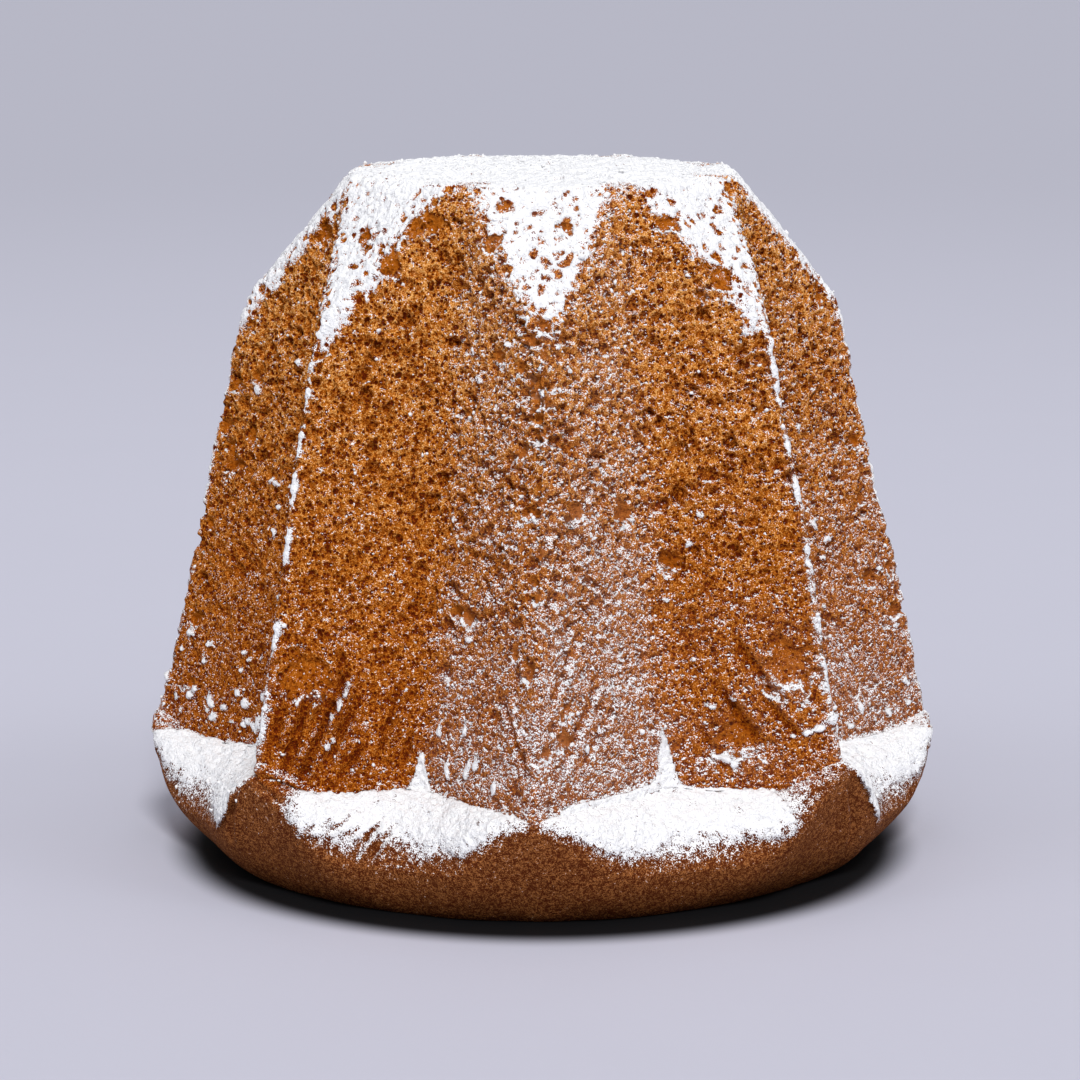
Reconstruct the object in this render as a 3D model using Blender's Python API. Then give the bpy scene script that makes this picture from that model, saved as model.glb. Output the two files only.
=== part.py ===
"""A pandoro standing on its wide end.

The cake is one solid: a tapering star of eight ridges, a small flat top whose rim is cut back to
each ridge by a sloping facet, and the soft swollen rim at the foot, where the dough rose over the
mould. Icing sugar lies in drifts on that rim, between the ridges, and is fused to the cake.

Lengths are in metres and angles in radians. +Z is up, the origin is on the surface that the cake
stands on, under its middle, and the first ridge faces -Y.
"""

from math import atan, cos, pi, radians, sin

import bmesh
import bpy

# Driving sizes
RIDGES = 8
TOTAL_HEIGHT = 0.198
DOME_RISE = 0.0008
TOP_EDGE_FILLET = 0.004
TOP_VALLEY_RADIUS = 0.059
SHOULDER_HEIGHT = 0.159
SHOULDER_RIDGE_RADIUS = 0.087
FOOT_RIDGE_RADIUS = 0.1155
FOOT_VALLEY_RADIUS = 0.087
CREASE_HEIGHT = 0.031
RIM_RIDGE_RADIUS = 0.1155
RIM_VALLEY_RADIUS = 0.1075
RIM_RIDGE_DROP = 0.003          # on a ridge, the rim is widest this far below the flutes
RIM_VALLEY_HEIGHT = 0.0145      # in a valley, it is widest at this height
RIM_LEAST_SWELL = 0.0005
DRIFT_HEIGHT = 0.0015

# Softness of the form
FLARE = 1.03                    # over 1, the ridges spread faster towards the foot
RIDGE_BLEND = 0.0016            # how far two flanks melt into each other on a ridge
VALLEY_BLEND = 0.005
SHOULDER_BLEND = 0.004          # how far the facets melt into the ridges
RIM_SPREADS = (1.6, 0.8)        # in a valley and on a ridge: the less, the sooner the rim swells out
RIM_SHOULDERS = (1.3, 0.7)      # in a valley and on a ridge: the less, the longer it stays high
RIM_TUCK = 1.55                 # over 1, the rim's lower side is drawn in straighter
FOOT_PEAK = 10                  # how narrow the raised foot of a ridge is
RIM_PEAK = 3                    # how narrow the high part of the rim is on a ridge
DRIFT_PEAK = 8                  # how narrow the drift in a valley is

# The ridges, from the front one and on to its right: how far each leans round the axis at the
# foot and at the shoulder, how high its foot stands, and how far out the cake rests under it.
FOOT_TURNS = [radians(angle) for angle in (-1.2, 2.3, 0.5, 0.0, 1.0, -1.0, -0.5, 1.3)]
SHOULDER_TURNS = [radians(angle) for angle in (0.5, 1.4, 0.5, -1.0, 0.5, 1.0, 0.0, -1.4)]
FOOT_HEIGHTS = (0.0315, 0.0390, 0.0360, 0.0340, 0.0360, 0.0330, 0.0365, 0.0365)
REST_RADII = (0.0995, 0.0955, 0.0945, 0.0965, 0.0975, 0.0960, 0.0935, 0.0985)

# Slow swells of the baked surface: depth, waves round the cake, waves per metre of height, phase
SWELLS = (
    (0.00035, 3, 40.0, 1.0),
    (0.00035, 7, -65.0, 2.2),
    (0.00025, 13, 90.0, 0.4),
)

# Mesh density
STEPS_PER_SIDE = 10             # from a ridge to the valley beside it
TOP_RINGS = 4
FILLET_RINGS = 3
FACET_RINGS = 6
SIDE_RINGS = 10
RIM_UPPER_RINGS = 5
RIM_LOWER_RINGS = 6
LEAST_FACET = 0.0012            # the facets end in the valleys, in rings this deep in all

HALF_SECTOR = pi / RIDGES
TOP_EDGE_HEIGHT = TOTAL_HEIGHT - DOME_RISE
FACET_TOP_RADIUS = TOP_VALLEY_RADIUS * cos(HALF_SECTOR)
FACET_RUN = (SHOULDER_RIDGE_RADIUS - FACET_TOP_RADIUS) / (TOP_EDGE_HEIGHT - SHOULDER_HEIGHT)
SIDE_HEIGHT = SHOULDER_HEIGHT - CREASE_HEIGHT

CRUST_COLOUR = (0.36, 0.145, 0.035, 1.0)
CRUST_ROUGHNESS = 0.85
SMOOTHING_ANGLE = radians(35)


def mix(a, b, share):
    return a * (1 - share) + b * share


def clamp(value):
    return min(1.0, max(0.0, value))


def smooth_minimum(a, b, reach):
    share = clamp(0.5 + 0.5 * (b - a) / reach)
    return mix(b, a, share) - reach * share * (1 - share)


def along_ridges(flute, values):
    """A value given for each ridge, eased between one ridge and the next."""
    place = flute / (2 * HALF_SECTOR) % RIDGES
    first = int(place)
    share = place - first
    share = share * share * (3 - 2 * share)
    return mix(values[first % RIDGES], values[(first + 1) % RIDGES], share)


def from_ridge(flute):
    """The angle to the nearest ridge, from 0 to HALF_SECTOR."""
    return abs((flute + HALF_SECTOR) % (2 * HALF_SECTOR) - HALF_SECTOR)


def ridge_share(flute):
    """1 on a ridge and 0 in a valley."""
    return 0.5 + 0.5 * cos(pi * from_ridge(flute) / HALF_SECTOR)


def flank_radius(angle, ridge_radius, valley_radius):
    """The straight line from a ridge to a valley, and beyond both, angle away from the ridge."""
    reach = ridge_radius * sin(angle) + valley_radius * sin(HALF_SECTOR - angle)
    return ridge_radius * valley_radius * sin(HALF_SECTOR) / reach


def star_radius(angle, height):
    """The star's outline: two flanks meet rounded on the ridge, and two in the valley."""
    down = (SHOULDER_HEIGHT - height) / SIDE_HEIGHT
    spread = abs(down) ** FLARE * (1 if down > 0 else -1)
    ridge_radius = mix(SHOULDER_RIDGE_RADIUS, FOOT_RIDGE_RADIUS, spread)
    fall = (TOP_EDGE_HEIGHT - height) / (TOP_EDGE_HEIGHT - CREASE_HEIGHT)
    valley_radius = mix(TOP_VALLEY_RADIUS, FOOT_VALLEY_RADIUS, fall)
    own = flank_radius(angle, ridge_radius, valley_radius)
    over_ridge = flank_radius(-angle, ridge_radius, valley_radius)
    over_valley = flank_radius(2 * HALF_SECTOR - angle, ridge_radius, valley_radius)
    rounded = smooth_minimum(own, over_ridge, RIDGE_BLEND)
    return -smooth_minimum(-rounded, -over_valley, VALLEY_BLEND)


def facet_radius(angle, height):
    """The sloping facet that cuts a ridge back to the rim of the small top."""
    return (FACET_TOP_RADIUS + FACET_RUN * (TOP_EDGE_HEIGHT - height)) / cos(angle)


def facet_foot(angle):
    """The height at which the facet ends and the flutes begin."""
    low = mix(CREASE_HEIGHT, SHOULDER_HEIGHT, 0.5)
    high = TOP_EDGE_HEIGHT
    while high - low > LEAST_FACET / 10:
        middle = (low + high) / 2
        if star_radius(angle, middle) > facet_radius(angle, middle):
            high = middle
        else:
            low = middle
    return low


def swell(flute, height):
    waves = (depth * sin(around * flute + along * height + phase)
             for depth, around, along, phase in SWELLS)
    return sum(waves)


def side_radius(flute, height):
    """The fluted side, facets included."""
    angle = from_ridge(flute)
    star = star_radius(angle, height)
    return smooth_minimum(star, facet_radius(angle, height), SHOULDER_BLEND) + swell(flute, height)


def foot_height(flute):
    """Where the side ends: high at a ridge, low in between, raised in the valley by a drift."""
    share = ridge_share(flute)
    foot = mix(CREASE_HEIGHT, along_ridges(flute, FOOT_HEIGHTS), share ** FOOT_PEAK)
    return foot + DRIFT_HEIGHT * (1 - share) ** DRIFT_PEAK


def widest_height(flute):
    """Where the rim stands out furthest."""
    below_ridge = along_ridges(flute, FOOT_HEIGHTS) - RIM_RIDGE_DROP
    return mix(RIM_VALLEY_HEIGHT, below_ridge, ridge_share(flute) ** RIM_PEAK)


def azimuth(flute, height):
    """Where a flute's angle lies round the axis, as the ridges lean a little to one side."""
    down = clamp((SHOULDER_HEIGHT - height) / SIDE_HEIGHT)
    return flute + mix(along_ridges(flute, SHOULDER_TURNS), along_ridges(flute, FOOT_TURNS), down)


def top_profile(flute):
    """From near the middle of the top, out over its rounded edge to the facet."""
    tilt = atan(1 / FACET_RUN)
    edge = side_radius(flute, TOP_EDGE_HEIGHT - TOP_EDGE_FILLET * (1 - cos(tilt)))
    inner = edge - TOP_EDGE_FILLET * sin(tilt)
    points = []
    for ring in range(1, TOP_RINGS + 1):
        share = ring / TOP_RINGS
        points.append((inner * share, TOP_EDGE_HEIGHT + DOME_RISE * (1 - share * share)))
    for ring in range(1, FILLET_RINGS + 1):
        turn = tilt * ring / FILLET_RINGS
        height = TOP_EDGE_HEIGHT - TOP_EDGE_FILLET * (1 - cos(turn))
        points.append((inner + TOP_EDGE_FILLET * sin(turn), height))
    return points


def side_profile(flute, start):
    """Down the facet to its foot, and down the flutes to the rim."""
    facet_end = min(facet_foot(from_ridge(flute)), start - LEAST_FACET)
    points = []
    for ring in range(1, FACET_RINGS + 1):
        height = mix(start, facet_end, ring / FACET_RINGS)
        points.append((side_radius(flute, height), height))
    for ring in range(1, SIDE_RINGS + 1):
        height = mix(facet_end, foot_height(flute), ring / SIDE_RINGS)
        points.append((side_radius(flute, height), height))
    return points


def rim_profile(flute):
    """Out over the swollen rim at the foot, and in under it to where the cake rests."""
    share = ridge_share(flute)
    start_height = foot_height(flute)
    start = side_radius(flute, start_height)
    widest = max(mix(RIM_VALLEY_RADIUS, RIM_RIDGE_RADIUS, share), start + RIM_LEAST_SWELL)
    turn_height = widest_height(flute)
    spread = mix(*RIM_SPREADS, share)
    shoulder = mix(*RIM_SHOULDERS, share)
    rest = along_ridges(flute, REST_RADII)
    points = []
    for ring in range(1, RIM_UPPER_RINGS + 1):
        turn = pi / 2 * ring / RIM_UPPER_RINGS
        height = mix(turn_height, start_height, cos(turn) ** shoulder)
        points.append((mix(start, widest, sin(turn) ** spread), height))
    for ring in range(1, RIM_LOWER_RINGS + 1):
        turn = pi / 2 * ring / RIM_LOWER_RINGS
        height = turn_height * (1 - sin(turn) ** RIM_TUCK)
        points.append((mix(rest, widest, cos(turn) ** RIM_TUCK), height))
    return points


def flute_profile(flute):
    top = top_profile(flute)
    return top + side_profile(flute, top[-1][1]) + rim_profile(flute)


def flute_angles():
    """Angles round the cake, closer together on the ridges and in the valleys."""
    angles = []
    for ridge in range(RIDGES):
        for step in range(-STEPS_PER_SIDE, STEPS_PER_SIDE):
            eased = 0.5 - 0.5 * cos(pi * step / STEPS_PER_SIDE)
            angles.append(HALF_SECTOR * (2 * ridge + eased * (1 if step > 0 else -1)))
    return angles


def add_rings(mesh, flutes):
    """One ring of vertices for each step of the profile, from the top to the underside."""
    profiles = [flute_profile(flute) for flute in flutes]
    rings = []
    for points in zip(*profiles):
        ring = []
        for flute, (radius, height) in zip(flutes, points):
            angle = azimuth(flute, height)
            ring.append(mesh.verts.new((radius * sin(angle), -radius * cos(angle), height)))
        rings.append(ring)
    return rings


def add_faces(mesh, rings):
    """The top as a fan, the sides as bands of quads, and the underside as one flat face."""
    count = len(rings[0])
    centre = mesh.verts.new((0.0, 0.0, TOTAL_HEIGHT))
    for i in range(count):
        mesh.faces.new((centre, rings[0][i], rings[0][(i + 1) % count]))
    for upper, lower in zip(rings, rings[1:]):
        for i in range(count):
            following = (i + 1) % count
            mesh.faces.new((upper[i], lower[i], lower[following], upper[following]))
    mesh.faces.new(reversed(rings[-1]))


def make_crust_material():
    material = bpy.data.materials.new("crust")
    material.use_nodes = True
    shader = material.node_tree.nodes["Principled BSDF"]
    shader.inputs["Base Color"].default_value = CRUST_COLOUR
    shader.inputs["Roughness"].default_value = CRUST_ROUGHNESS
    return material


def make_pandoro():
    mesh = bmesh.new()
    add_faces(mesh, add_rings(mesh, flute_angles()))
    bmesh.ops.recalc_face_normals(mesh, faces=mesh.faces)
    data = bpy.data.meshes.new("pandoro")
    mesh.to_mesh(data)
    mesh.free()
    data.materials.append(make_crust_material())
    data.shade_smooth()
    data.set_sharp_from_angle(angle=SMOOTHING_ANGLE)
    bpy.context.scene.collection.objects.link(bpy.data.objects.new("pandoro", data))


def main():
    for old in list(bpy.data.objects):
        bpy.data.objects.remove(old)
    make_pandoro()


main()
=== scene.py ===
"""The dressed pandoro: porous baked crust with icing sugar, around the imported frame.

Lengths are in metres and angles in radians, in the frame of the CAD part: +Z is up, the origin is
under the middle of the cake, and the first ridge faces -Y.
"""

from math import cos, pi, radians, sin

import bmesh
import bpy
import numpy as np
from mathutils import Euler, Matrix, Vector


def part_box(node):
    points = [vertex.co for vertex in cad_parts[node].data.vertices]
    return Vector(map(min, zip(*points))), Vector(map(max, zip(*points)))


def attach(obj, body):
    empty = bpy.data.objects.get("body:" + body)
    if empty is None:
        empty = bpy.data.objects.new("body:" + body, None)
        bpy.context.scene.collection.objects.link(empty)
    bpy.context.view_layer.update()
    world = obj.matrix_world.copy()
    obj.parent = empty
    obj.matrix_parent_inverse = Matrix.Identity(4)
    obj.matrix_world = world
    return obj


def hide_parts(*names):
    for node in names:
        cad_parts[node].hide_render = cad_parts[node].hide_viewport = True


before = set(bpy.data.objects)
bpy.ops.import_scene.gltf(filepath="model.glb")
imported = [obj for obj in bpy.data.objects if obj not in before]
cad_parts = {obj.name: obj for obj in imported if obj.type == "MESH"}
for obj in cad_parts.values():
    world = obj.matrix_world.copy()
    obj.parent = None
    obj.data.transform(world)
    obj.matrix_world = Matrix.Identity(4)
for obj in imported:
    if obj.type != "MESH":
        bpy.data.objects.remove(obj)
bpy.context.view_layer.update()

# The form, as the part has it
RIDGES = 8
HALF_SECTOR = pi / RIDGES
TOTAL_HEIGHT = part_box("pandoro")[1][2]
DOME_RISE = 0.0008
TOP_EDGE_FILLET = 0.004
TOP_VALLEY_RADIUS = 0.059
SHOULDER_HEIGHT = 0.159
SHOULDER_RIDGE_RADIUS = 0.087
FOOT_RIDGE_RADIUS = 0.1155
FOOT_VALLEY_RADIUS = 0.087
CREASE_HEIGHT = 0.031
RIM_RIDGE_RADIUS = 0.1155
RIM_VALLEY_RADIUS = 0.1075
RIM_RIDGE_DROP = 0.003
RIM_VALLEY_HEIGHT = 0.0145
RIM_LEAST_SWELL = 0.0005
DRIFT_HEIGHT = 0.0015
FLARE = 1.03
RIDGE_BLEND = 0.0016
VALLEY_BLEND = 0.005
SHOULDER_BLEND = 0.004
RIM_SPREADS = (1.6, 0.8)
RIM_SHOULDERS = (1.3, 0.7)
RIM_TUCK = 1.55
FOOT_PEAK = 10
RIM_PEAK = 3
DRIFT_PEAK = 8
FOOT_TURNS = np.radians((-1.2, 2.3, 0.5, 0.0, 1.0, -1.0, -0.5, 1.3))
SHOULDER_TURNS = np.radians((0.5, 1.4, 0.5, -1.0, 0.5, 1.0, 0.0, -1.4))
FOOT_HEIGHTS = np.array((0.0315, 0.0390, 0.0360, 0.0340, 0.0360, 0.0330, 0.0365, 0.0365))
REST_RADII = np.array((0.0995, 0.0955, 0.0945, 0.0965, 0.0975, 0.0960, 0.0935, 0.0985))
# Slow swells in the side: depth, waves round the cake, waves up it and their phase
SWELLS = (
    (0.00035, 3, 40.0, 1.0),
    (0.00035, 7, -65.0, 2.2),
    (0.00025, 13, 90.0, 0.4),
)
TOP_EDGE_HEIGHT = TOTAL_HEIGHT - DOME_RISE
FACET_TOP_RADIUS = TOP_VALLEY_RADIUS * cos(HALF_SECTOR)
FACET_RUN = (SHOULDER_RIDGE_RADIUS - FACET_TOP_RADIUS) / (TOP_EDGE_HEIGHT - SHOULDER_HEIGHT)
SIDE_HEIGHT = SHOULDER_HEIGHT - CREASE_HEIGHT

# Where the crumb ends on each ridge and the skin of the rim begins
LINE_HEIGHTS = np.array((0.0315, 0.0390, 0.0310, 0.0340, 0.0360, 0.0330, 0.0310, 0.0365))

# Mesh density: columns of each lobe, from the front one and on to its right, finest where the
# photograph shows them, and rings of the side, the top and the underside
FINE = 1
COLUMNS = [columns // FINE for columns in (176, 176, 128, 96, 96, 96, 128, 176)]
SIDE_RINGS = 390 // FINE
TOP_RINGS = 84 // FINE
UNDER_RINGS = 4
TOP_HALVINGS = 4

# How finely each part of the profile, and the way across a lobe, is worked out before it is cut
# into even steps
FILLET_STEPS = 8
FLANK_STEPS = 260
RIM_STEPS = 60
LOBE_STEPS = 600

# Random values for the noise and the cells, which repeat after this many steps
TABLE_SIZE = 32
RANDOM = np.random.RandomState(20)
VALUES = RANDOM.random_sample((TABLE_SIZE,) * 3).astype(np.float32)
JITTER = RANDOM.random_sample((TABLE_SIZE,) * 3 + (4,)).astype(np.float32)
CORNERS = [(x, y, z) for x in (0, 1) for y in (0, 1) for z in (0, 1)]
NEIGHBOURS = [(x, y, z) for x in (-1, 0, 1) for y in (-1, 0, 1) for z in (-1, 0, 1)]


# ---- helpers for numbers and noise

def mix(a, b, share):
    return a * (1 - share) + b * share


def ramp(value, low, high):
    """0 below low, 1 above high, and eased between them."""
    share = np.clip((value - low) / (high - low), 0, 1)
    return share * share * (3 - 2 * share)


def smooth_minimum(a, b, reach):
    share = np.clip(0.5 + 0.5 * (b - a) / reach, 0, 1)
    return mix(b, a, share) - reach * share * (1 - share)


def noise(points, size, salt):
    """Smooth random values from -1 to 1 that change over about size metres."""
    place = points / size + salt * 7.31
    cell = np.floor(place).astype(np.int64)
    part = (place - cell).astype(np.float32)
    part = part * part * (3 - 2 * part)
    total = np.zeros(len(points), np.float32)
    for corner in CORNERS:
        weight = np.ones(len(points), np.float32)
        for axis in range(3):
            weight = weight * (part[:, axis] if corner[axis] else 1 - part[:, axis])
        key = (cell + corner) % TABLE_SIZE
        total += weight * VALUES[key[:, 0], key[:, 1], key[:, 2]]
    return 2 * total - 1


def rough(points, size, salt, octaves=3, keep=0.55):
    """Noise with finer and finer detail."""
    total = np.zeros(len(points), np.float32)
    weight = 1.0
    reach = 0.0
    for octave in range(octaves):
        total += weight * noise(points, size / 2 ** octave, salt + octave)
        reach += weight
        weight *= keep
    return total / reach


def bubbles(points, size, low, high, rarity, salt):
    """Depth in metres of round bubbles, spread size apart, whose radius is low to high sizes."""
    place = points / size + salt * 5.17
    cell = np.floor(place).astype(np.int64)
    part = (place - cell).astype(np.float32)
    deepest = np.zeros(len(points), np.float32)
    for neighbour in NEIGHBOURS:
        key = (cell + neighbour) % TABLE_SIZE
        seed = JITTER[key[:, 0], key[:, 1], key[:, 2]]
        radius = mix(low, high, seed[:, 3] ** rarity)
        away = np.array(neighbour, np.float32) + seed[:, :3] - part
        inside = radius * radius - (away * away).sum(1)
        deepest = np.maximum(deepest, np.sqrt(np.maximum(inside, 0)))
    return deepest * size


def foam(points, size, salt, rarity):
    """Cells packed like foam, about size across: 0 on their walls, and up to 1 in the deepest."""
    place = points / size + salt * 5.17
    cell = np.floor(place).astype(np.int64)
    part = (place - cell).astype(np.float32)
    nearest = np.full(len(points), 9, np.float32)
    second = nearest.copy()
    depth = np.zeros(len(points), np.float32)
    for neighbour in NEIGHBOURS:
        key = (cell + neighbour) % TABLE_SIZE
        seed = JITTER[key[:, 0], key[:, 1], key[:, 2]]
        away = np.array(neighbour, np.float32) + seed[:, :3] - part
        distance = (away * away).sum(1)
        closer = distance < nearest
        second = np.where(closer, nearest, np.minimum(second, distance))
        depth = np.where(closer, seed[:, 3], depth)
        nearest = np.minimum(nearest, distance)
    return ramp(np.sqrt(second) - np.sqrt(nearest), 0.02, 0.5) * depth ** rarity


# ---- the form

def along_ridges(flute, values):
    """Values given for each ridge, eased from one to the next."""
    place = flute / (2 * HALF_SECTOR) % RIDGES
    first = np.floor(place).astype(int)
    share = place - first
    share = share * share * (3 - 2 * share)
    return mix(values[first % RIDGES], values[(first + 1) % RIDGES], share)


def from_ridge(flute):
    """Angle from the nearest ridge."""
    return np.abs((flute + HALF_SECTOR) % (2 * HALF_SECTOR) - HALF_SECTOR)


def ridge_share(flute):
    """1 on a ridge and 0 in a valley."""
    return 0.5 + 0.5 * np.cos(pi * from_ridge(flute) / HALF_SECTOR)


def flank_radius(angle, ridge_radius, valley_radius):
    """Radius of the straight flank between a ridge and a valley."""
    reach = ridge_radius * np.sin(angle) + valley_radius * np.sin(HALF_SECTOR - angle)
    return ridge_radius * valley_radius * sin(HALF_SECTOR) / reach


def star_radius(angle, height):
    """Radius of the eight-pointed star, with its ridges and valleys rounded."""
    down = (SHOULDER_HEIGHT - height) / SIDE_HEIGHT
    spread = np.abs(down) ** FLARE * np.sign(down)
    ridge_radius = mix(SHOULDER_RIDGE_RADIUS, FOOT_RIDGE_RADIUS, spread)
    fall = (TOP_EDGE_HEIGHT - height) / (TOP_EDGE_HEIGHT - CREASE_HEIGHT)
    valley_radius = mix(TOP_VALLEY_RADIUS, FOOT_VALLEY_RADIUS, fall)
    own = flank_radius(angle, ridge_radius, valley_radius)
    over_ridge = flank_radius(-angle, ridge_radius, valley_radius)
    over_valley = flank_radius(2 * HALF_SECTOR - angle, ridge_radius, valley_radius)
    rounded = smooth_minimum(own, over_ridge, RIDGE_BLEND)
    return -smooth_minimum(-rounded, -over_valley, VALLEY_BLEND)


def facet_radius(angle, height):
    """Radius of the flat facets above the shoulders."""
    return (FACET_TOP_RADIUS + FACET_RUN * (TOP_EDGE_HEIGHT - height)) / np.cos(angle)


def facet_foot(flute):
    """The height at which the facet ends and the flutes begin."""
    angle = from_ridge(flute)
    low = np.full_like(angle, SHOULDER_HEIGHT - 0.02)
    high = np.full_like(angle, TOP_EDGE_HEIGHT)
    for _ in range(18):
        middle = (low + high) / 2
        over = star_radius(angle, middle) > facet_radius(angle, middle)
        high = np.where(over, middle, high)
        low = np.where(over, low, middle)
    return low


def side_radius(flute, height):
    angle = from_ridge(flute)
    radius = smooth_minimum(star_radius(angle, height), facet_radius(angle, height), SHOULDER_BLEND)
    for depth, around, along, phase in SWELLS:
        radius = radius + depth * np.sin(around * flute + along * height + phase)
    return radius


def foot_height(flute):
    """The height at which the side ends and the rim begins."""
    share = ridge_share(flute)
    foot = mix(CREASE_HEIGHT, along_ridges(flute, FOOT_HEIGHTS), share ** FOOT_PEAK)
    return foot + DRIFT_HEIGHT * (1 - share) ** DRIFT_PEAK


def crust_line(flute):
    """The height at which the crumb ends and the skin of the rim begins."""
    share = ridge_share(flute)
    line = mix(CREASE_HEIGHT, along_ridges(flute, LINE_HEIGHTS), share ** FOOT_PEAK)
    return line + DRIFT_HEIGHT * (1 - share) ** DRIFT_PEAK


def azimuth(flute, height):
    """Angle round the cake, as each ridge leans a little."""
    down = np.clip((SHOULDER_HEIGHT - height) / SIDE_HEIGHT, 0, 1)
    return flute + mix(along_ridges(flute, SHOULDER_TURNS), along_ridges(flute, FOOT_TURNS), down)


def profile(flutes):
    """Radius, height and place on the rim, for rings of points from the middle of the top to the
    middle of the underside: three arrays of rings by flutes. The place on the rim is 0 above it,
    1 where it is widest, 2 where the cake rests, and more than 2 under the cake."""
    tilt = np.arctan(1 / FACET_RUN)
    start = TOP_EDGE_HEIGHT - TOP_EDGE_FILLET * (1 - cos(tilt))
    inner = side_radius(flutes, start) - TOP_EDGE_FILLET * sin(tilt)
    turns = np.linspace(0, tilt, FILLET_STEPS)[:, None]
    fillet = inner + TOP_EDGE_FILLET * np.sin(turns)
    fillet_height = TOP_EDGE_HEIGHT - TOP_EDGE_FILLET * (1 - np.cos(turns)) + 0 * flutes
    foot = foot_height(flutes)
    side_height = mix(start, foot, np.linspace(0, 1, FLANK_STEPS)[1:, None])
    side = side_radius(flutes, side_height)
    share = ridge_share(flutes)
    crease = side[-1]
    widest = np.maximum(mix(RIM_VALLEY_RADIUS, RIM_RIDGE_RADIUS, share), crease + RIM_LEAST_SWELL)
    below_ridge = along_ridges(flutes, FOOT_HEIGHTS) - RIM_RIDGE_DROP
    widest_height = mix(RIM_VALLEY_HEIGHT, below_ridge, share ** RIM_PEAK)
    turns = np.linspace(0, pi / 2, RIM_STEPS)[1:, None]
    upper = mix(crease, widest, np.sin(turns) ** mix(*RIM_SPREADS, share))
    fall = np.maximum(np.cos(turns), 0) ** mix(*RIM_SHOULDERS, share)
    upper_height = mix(widest_height, foot, fall)
    rest = along_ridges(flutes, REST_RADII)
    lower = mix(rest, widest, np.maximum(np.cos(turns), 0) ** RIM_TUCK)
    lower_height = widest_height * (1 - np.sin(turns) ** RIM_TUCK)
    radius = np.vstack((fillet, side, upper, lower))
    height = np.vstack((fillet_height, side_height, upper_height, lower_height))
    above_rim = np.zeros(FILLET_STEPS + FLANK_STEPS - 1)
    place = np.concatenate((above_rim, np.linspace(0, 2, 2 * RIM_STEPS - 1)[1:]))
    steps = np.hypot(np.diff(radius, axis=0), np.diff(height, axis=0))
    length = np.vstack((np.zeros(len(flutes)), np.cumsum(steps, axis=0)))
    rings = [np.empty((SIDE_RINGS + 1, len(flutes))) for _ in range(3)]
    wanted = np.linspace(0, 1, SIDE_RINGS + 1)
    for column in range(len(flutes)):
        at = wanted * length[-1, column]
        rings[0][:, column] = np.interp(at, length[:, column], radius[:, column])
        rings[1][:, column] = np.interp(at, length[:, column], height[:, column])
        rings[2][:, column] = np.interp(at, length[:, column], place)
    share = np.arange(1, TOP_RINGS)[:, None] / TOP_RINGS
    top = inner * share
    top_height = TOP_EDGE_HEIGHT + DOME_RISE * (1 - share * share) + 0 * flutes
    share = 1 - np.arange(1, UNDER_RINGS)[:, None] / UNDER_RINGS
    under = rest * share
    return (np.vstack((top, rings[0], under)),
            np.vstack((top_height, rings[1], 0 * under)),
            np.vstack((0 * top, rings[2], 3 - share + 0 * under)))


def place_points(flutes):
    radius, height, rim = profile(flutes)
    angle = azimuth(flutes, height)
    points = np.stack((radius * np.sin(angle), -radius * np.cos(angle), height), axis=-1)
    return points, rim


def lobe_flutes(lobe):
    """Flute angles of one lobe, from valley to valley, evenly spread over its two flanks."""
    angles = np.linspace(-HALF_SECTOR, HALF_SECTOR, LOBE_STEPS + 1)
    radius = star_radius(np.abs(angles), mix(CREASE_HEIGHT, SHOULDER_HEIGHT, 0.4))
    steps = np.hypot(np.diff(radius * np.sin(angles)), np.diff(radius * np.cos(angles)))
    length = np.concatenate(((0,), np.cumsum(steps)))
    wanted = np.linspace(0, length[-1], COLUMNS[lobe] + 1)
    return 2 * HALF_SECTOR * lobe + np.interp(wanted, length, angles)


def make_lobe(lobe):
    """The smooth form of one lobe: its points, their outward normals, and what is known of each."""
    flutes = lobe_flutes(lobe)
    points, rim = place_points(flutes)
    step = 1e-4
    after = place_points(flutes + step)[0]
    before = place_points(flutes - step)[0]
    normals = np.cross(after - before, -np.gradient(points, axis=0))
    normals /= np.linalg.norm(normals, axis=-1, keepdims=True) + 1e-12
    rings = len(points)
    steps = np.ones(rings, int)
    for halving in range(TOP_HALVINGS):
        steps[: int(TOP_RINGS * 0.5 ** halving)] = 2 ** (halving + 1)
    used = np.zeros(points.shape[:2], bool)
    for ring in range(rings):
        used[ring, ::steps[ring]] = True
    ids = np.full(used.shape, -1)
    ids[used] = np.arange(used.sum())
    fields = {
        "flute": np.broadcast_to(flutes, used.shape)[used],
        "rim": rim[used],
    }
    return {"ids": ids, "steps": steps, "points": points[used], "normals": normals[used],
            "fields": fields}


def lobe_faces(lobe):
    """Quads between rings of one density, and triangles where the columns halve."""
    ids = lobe["ids"]
    steps = lobe["steps"]
    quads = []
    triangles = []
    for ring in range(len(ids) - 1):
        step = steps[ring]
        inner = ids[ring, ::step]
        outer = ids[ring + 1, ::step]
        if steps[ring + 1] == step:
            quads.append(np.stack((inner[:-1], outer[:-1], outer[1:], inner[1:]), axis=1))
        else:
            between = ids[ring + 1, step // 2::step]
            triangles.append(np.stack((inner[:-1], outer[:-1], between), axis=1))
            triangles.append(np.stack((inner[:-1], between, inner[1:]), axis=1))
            triangles.append(np.stack((inner[1:], between, outer[1:]), axis=1))
    quads = np.concatenate(quads)
    first = ids[0, ::steps[0]]
    last = ids[-1]
    top, bottom = ids.max() + 1, ids.max() + 2
    triangles.append(np.stack((np.full(len(first) - 1, top), first[:-1], first[1:]), axis=1))
    triangles.append(np.stack((last[:-1], np.full(len(last) - 1, bottom), last[1:]), axis=1))
    return quads, np.concatenate(triangles)


# ---- the relief

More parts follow.
